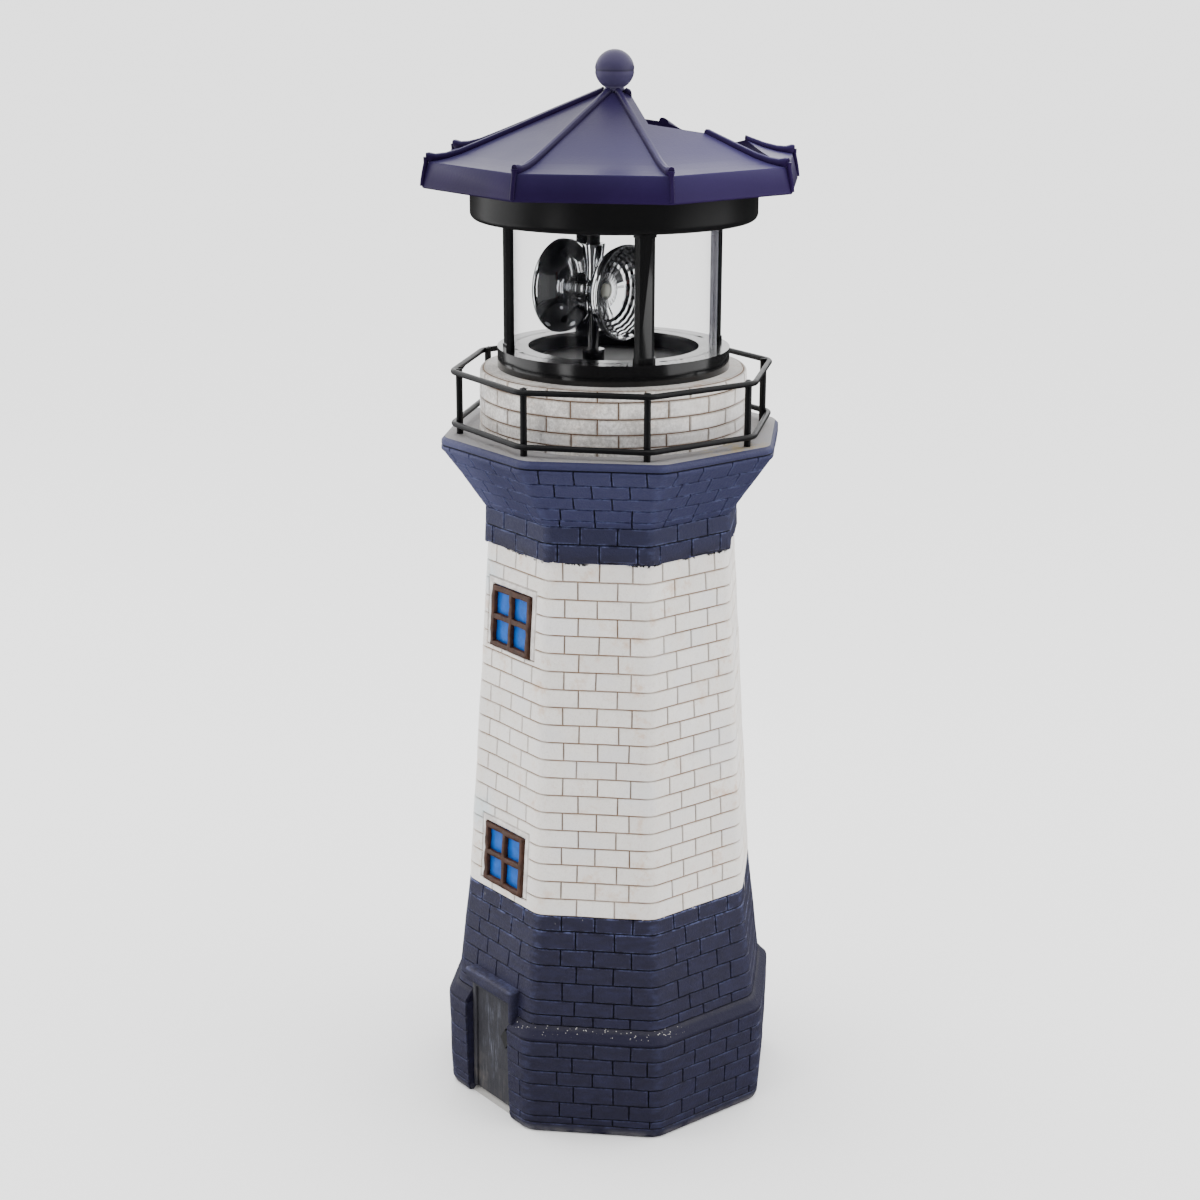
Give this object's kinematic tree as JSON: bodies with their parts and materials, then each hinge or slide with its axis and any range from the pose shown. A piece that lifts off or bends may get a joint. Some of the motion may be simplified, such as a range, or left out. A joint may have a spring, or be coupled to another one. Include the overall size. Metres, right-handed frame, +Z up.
{
  "type": "garden lighthouse ornament",
  "caption": "Octagonal brick-pattern garden lighthouse with a wire gallery railing and a lift-off solar lantern whose geared beacon turns.",
  "frame": {"origin": "centre of the octagonal base, on the ground", "axes": "+Z up the tower to the finial; the door and the windows face -Y"},
  "size_m": [0.121, 0.121, 0.3675],
  "materials": {
    "tower_resin": "matt painted cast resin, white, navy and grey",
    "door_paint": "matt slate grey paint",
    "window_frame_paint": "satin dark brown paint",
    "window_pane_paint": "glossy bright blue paint",
    "rail_steel": "satin black paint on steel wire",
    "black_plastic": "satin black moulded plastic",
    "clear_plastic": "clear polished plastic",
    "roof_plastic": "satin navy moulded plastic",
    "finial_plastic": "satin greyed navy plastic",
    "mirror_plastic": "vacuum-metallised bright plastic",
    "solar_cell": "dark blue laminated solar cell",
    "board_laminate": "green circuit board",
    "zinc_steel": "zinc-plated steel",
    "pinion_brass": "plain brass",
    "gear_plastic": "natural white gear plastic",
    "lead_pvc": "red wire covering",
    "battery_sleeve": "green battery sleeve",
    "lamp_epoxy": "clear lamp epoxy",
    "switch_plastic": "white switch plastic"
  },
  "bodies": {
    "tower": {"tower_body": "tower_resin", "door_leaf": "door_paint", "window_frames": "window_frame_paint", "window_panes": "window_pane_paint", "railing_top_rail": "rail_steel", "railing_bottom_rail": "rail_steel", "railing_posts": "rail_steel"},
    "lantern": {"lantern_frame": "black_plastic", "lantern_glass": "clear_plastic", "upper_housing": "black_plastic", "roof_shell": "roof_plastic", "roof_screws": "zinc_steel", "finial": "finial_plastic", "solar_panel": "solar_cell", "panel_lead": "lead_pvc", "control_board": "board_laminate", "lamp_stem": "black_plastic", "led_lamp": "lamp_epoxy", "post_lead": "lead_pvc", "chassis_plate": "black_plastic", "base_cup": "black_plastic", "cup_screws": "zinc_steel", "gearbox_plate": "black_plastic", "gearbox_screws": "zinc_steel", "idler_pin": "zinc_steel", "drive_motor": "zinc_steel", "switch_body": "black_plastic", "battery": "battery_sleeve", "battery_contacts": "zinc_steel"},
    "beacon": {"beacon_spindle": "black_plastic", "output_gear": "gear_plastic", "reflector_neck": "mirror_plastic", "reflector_a": "mirror_plastic", "reflector_b": "mirror_plastic"},
    "idler": {"idler_gear": "gear_plastic"},
    "rotor": {"motor_shaft": "zinc_steel", "motor_pinion": "pinion_brass"},
    "switch": {"switch_knob": "switch_plastic"},
    "hatch": {"battery_door": "black_plastic", "battery_door_screw": "zinc_steel"}
  },
  "joints": [
    {"name": "lantern_lift", "type": "slide", "parent": "tower", "child": "lantern", "axis": [0, 0, 1], "range_m": [0, 0.06]},
    {"name": "beacon_spin", "type": "hinge", "parent": "lantern", "child": "beacon", "pos_m": [-0.00423, -0.00532, 0.2889], "axis": [0, 0, 1], "continuous": true},
    {"name": "idler_spin", "type": "hinge", "parent": "lantern", "child": "idler", "pos_m": [0.00102, -0.01442, 0.256], "axis": [0, 0, 1], "continuous": true},
    {"name": "motor_spin", "type": "hinge", "parent": "lantern", "child": "rotor", "pos_m": [0.01088, -0.01801, 0.254], "axis": [0, 0, 1], "continuous": true},
    {"name": "switch_slide", "type": "slide", "parent": "lantern", "child": "switch", "axis": [0.3827, 0.9239, 0], "range_m": [0, 0.003]},
    {"name": "hatch_drop", "type": "slide", "parent": "lantern", "child": "hatch", "axis": [0, 0, -1], "range_m": [0, 0.015]}
  ],
  "couplings": [
    {"joint": "idler_spin", "follows": "beacon_spin", "ratio": -2.5},
    {"joint": "motor_spin", "follows": "beacon_spin", "ratio": 6.25}
  ]
}
